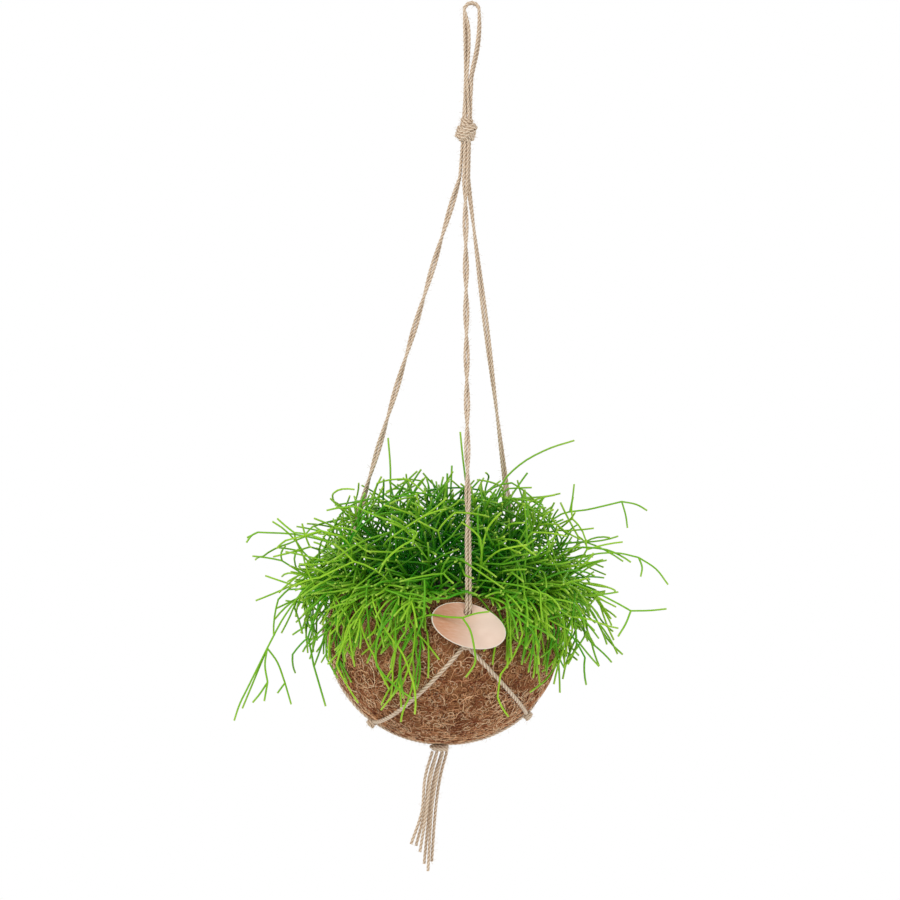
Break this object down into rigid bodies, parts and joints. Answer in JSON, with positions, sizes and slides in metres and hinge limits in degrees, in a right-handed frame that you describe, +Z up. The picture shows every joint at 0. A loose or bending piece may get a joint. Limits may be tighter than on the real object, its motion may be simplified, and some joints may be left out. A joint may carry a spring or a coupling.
{
  "type": "kokedama plant ball in a jute hanger",
  "caption": "Hanging kokedama: a trailing mistletoe cactus growing from a round coir ball, carried in a knotted jute twine hanger with an oval tag and a twine tassel.",
  "frame": {"origin": "inner top of the hanger's loop, where a hook carries it", "axes": "+Z up along the hanger's plumb line, -Y the front that shows the tag, +X to the right seen from the front"},
  "size_m": [0.3673, 0.2683, 0.7537],
  "materials": {
    "coir": "rough felted coconut fibre",
    "potting_mix": "moist dark crumbly potting mix",
    "jute": "natural twisted jute twine",
    "tag": "thin pale wood veneer, bare",
    "stem_green": "fresh waxy green stem"
  },
  "bodies": {
    "root": {"base_cord_left_1": "jute", "base_cord_left_2": "jute", "base_cord_rear_1": "jute", "base_cord_rear_2": "jute", "base_cord_right_1": "jute", "base_cord_right_2": "jute", "base_knot": "jute", "coir_ball": "coir", "crown_knot": "jute", "leg_back_1": "jute", "leg_back_2": "jute", "leg_front_1": "jute", "leg_front_2": "jute", "leg_left_1": "jute", "leg_left_2": "jute", "loop_cord_1": "jute", "loop_cord_2": "jute", "loop_cord_3": "jute", "low_knot_left": "jute", "low_knot_rear": "jute", "low_knot_right": "jute", "net_cord_back_rear": "jute", "net_cord_back_right": "jute", "net_cord_front_left": "jute", "net_cord_front_right": "jute", "net_cord_left_left": "jute", "net_cord_left_rear": "jute", "potting_mix": "potting_mix", "rim_knot_back": "jute", "rim_knot_front": "jute", "rim_knot_left": "jute", "stem_01": "stem_green", "stem_02": "stem_green", "stem_03": "stem_green", "stem_04": "stem_green", "stem_05": "stem_green", "stem_06": "stem_green", "stem_07": "stem_green", "stem_08": "stem_green", "stem_09": "stem_green", "stem_10": "stem_green", "stem_11": "stem_green", "stem_12": "stem_green", "stem_13": "stem_green", "stem_14": "stem_green", "stem_15": "stem_green", "stem_16": "stem_green", "stem_17": "stem_green", "stem_18": "stem_green", "stem_19": "stem_green", "stem_20": "stem_green", "stem_21": "stem_green", "stem_22": "stem_green", "tag": "tag", "tassel_1": "jute", "tassel_2": "jute", "tassel_3": "jute", "tassel_4": "jute", "tassel_5": "jute", "tassel_6": "jute"}
  },
  "joints": []
}
